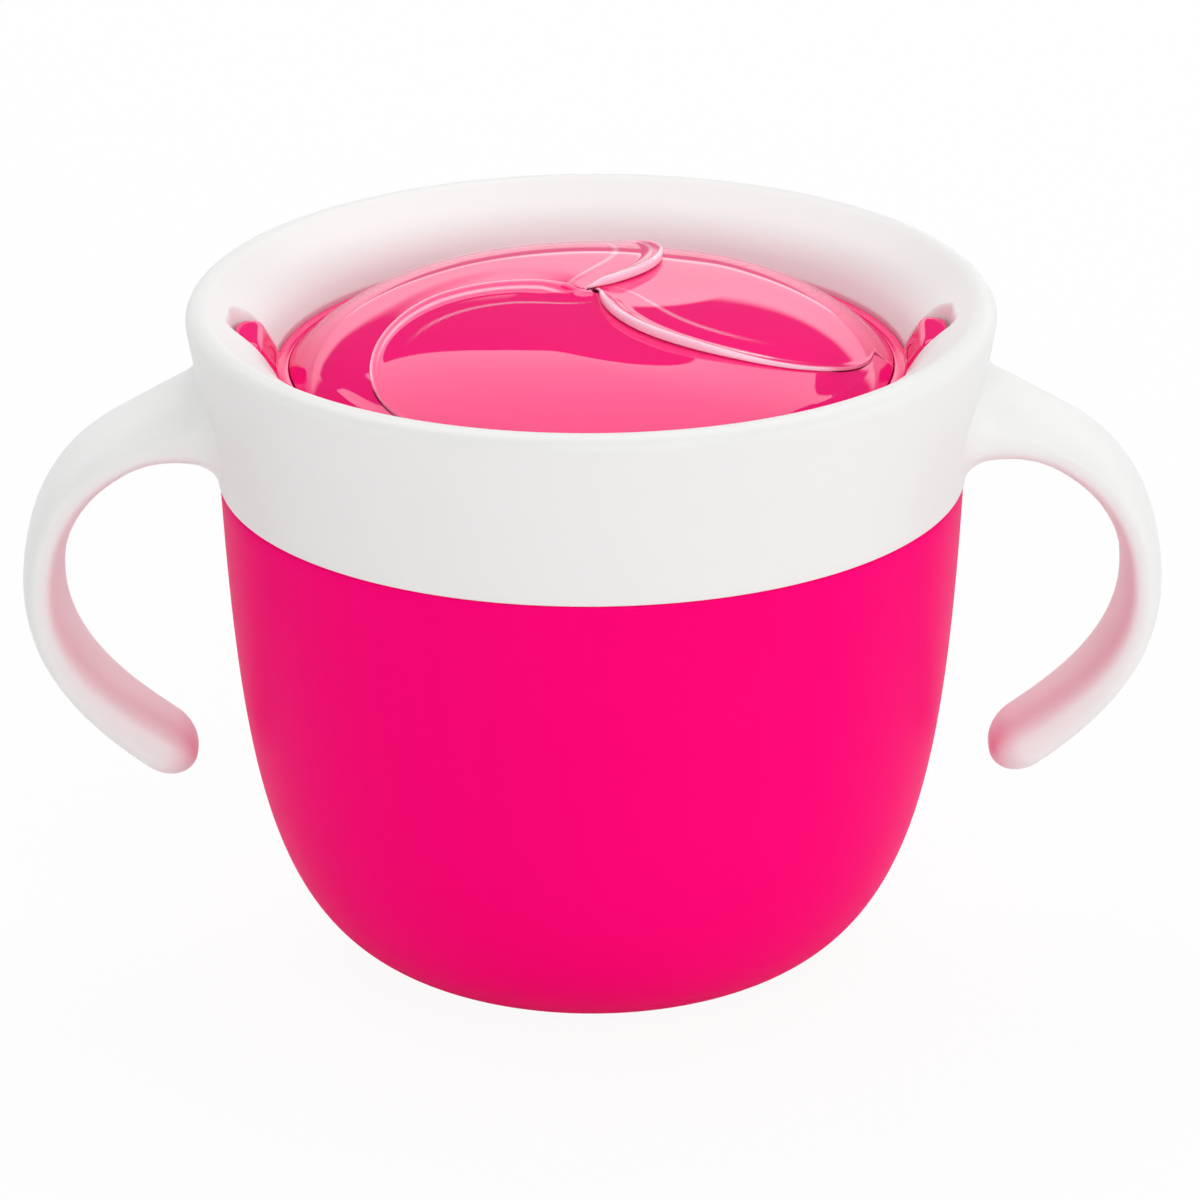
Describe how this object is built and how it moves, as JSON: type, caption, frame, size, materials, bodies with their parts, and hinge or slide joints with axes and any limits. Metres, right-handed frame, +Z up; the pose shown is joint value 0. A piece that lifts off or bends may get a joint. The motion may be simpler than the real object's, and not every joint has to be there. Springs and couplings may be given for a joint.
{
  "type": "toddler snack container",
  "caption": "Round toddler snack cup with a press-on two-handle collar and a soft domed lid of overlapping flaps that a small hand reaches through.",
  "frame": {"origin": "centre of the cup's flat foot, on the surface it stands on", "axes": "+X through the handle on the right as seen from the front, +Y to the back, +Z up"},
  "size_m": [0.1392, 0.0982, 0.0863],
  "materials": {
    "cup": "satin gloss polypropylene",
    "collar": "satin white polypropylene",
    "insert": "glossy translucent thermoplastic elastomer"
  },
  "bodies": {
    "cup": {"cup": "cup"},
    "collar": {"handle_collar": "collar"},
    "insert": {"insert_ring": "insert"},
    "flap_rear_right": {"flap_rear_right": "insert"},
    "flap_rear_left": {"flap_rear_left": "insert"},
    "flap_front": {"flap_front": "insert"}
  },
  "joints": [
    {"name": "collar_lift", "type": "slide", "parent": "cup", "child": "collar", "axis": [0, 0, 1], "range_m": [0, 0.09]},
    {"name": "insert_lift", "type": "slide", "parent": "collar", "child": "insert", "axis": [0, 0, 1], "range_m": [0, 0.04]},
    {"name": "rear_right_bend", "type": "hinge", "parent": "insert", "child": "flap_rear_right", "pos_m": [0.02055, 0.03047, 0.0765], "axis": [-0.829, 0.5592, 0], "range_deg": [0, 45], "stiffness_Nm_per_rad": 0.01},
    {"name": "rear_left_bend", "type": "hinge", "parent": "insert", "child": "flap_rear_left", "pos_m": [-0.03666, 0.00256, 0.0765], "axis": [-0.0698, -0.9976, 0], "range_deg": [0, 45], "stiffness_Nm_per_rad": 0.01},
    {"name": "front_bend", "type": "hinge", "parent": "insert", "child": "flap_front", "pos_m": [0.01611, -0.03303, 0.0765], "axis": [0.8988, 0.4384, 0], "range_deg": [0, 45], "stiffness_Nm_per_rad": 0.01}
  ],
  "couplings": [
    {"joint": "rear_right_bend", "follows": "front_bend", "ratio": 1},
    {"joint": "rear_left_bend", "follows": "front_bend", "ratio": 1}
  ]
}
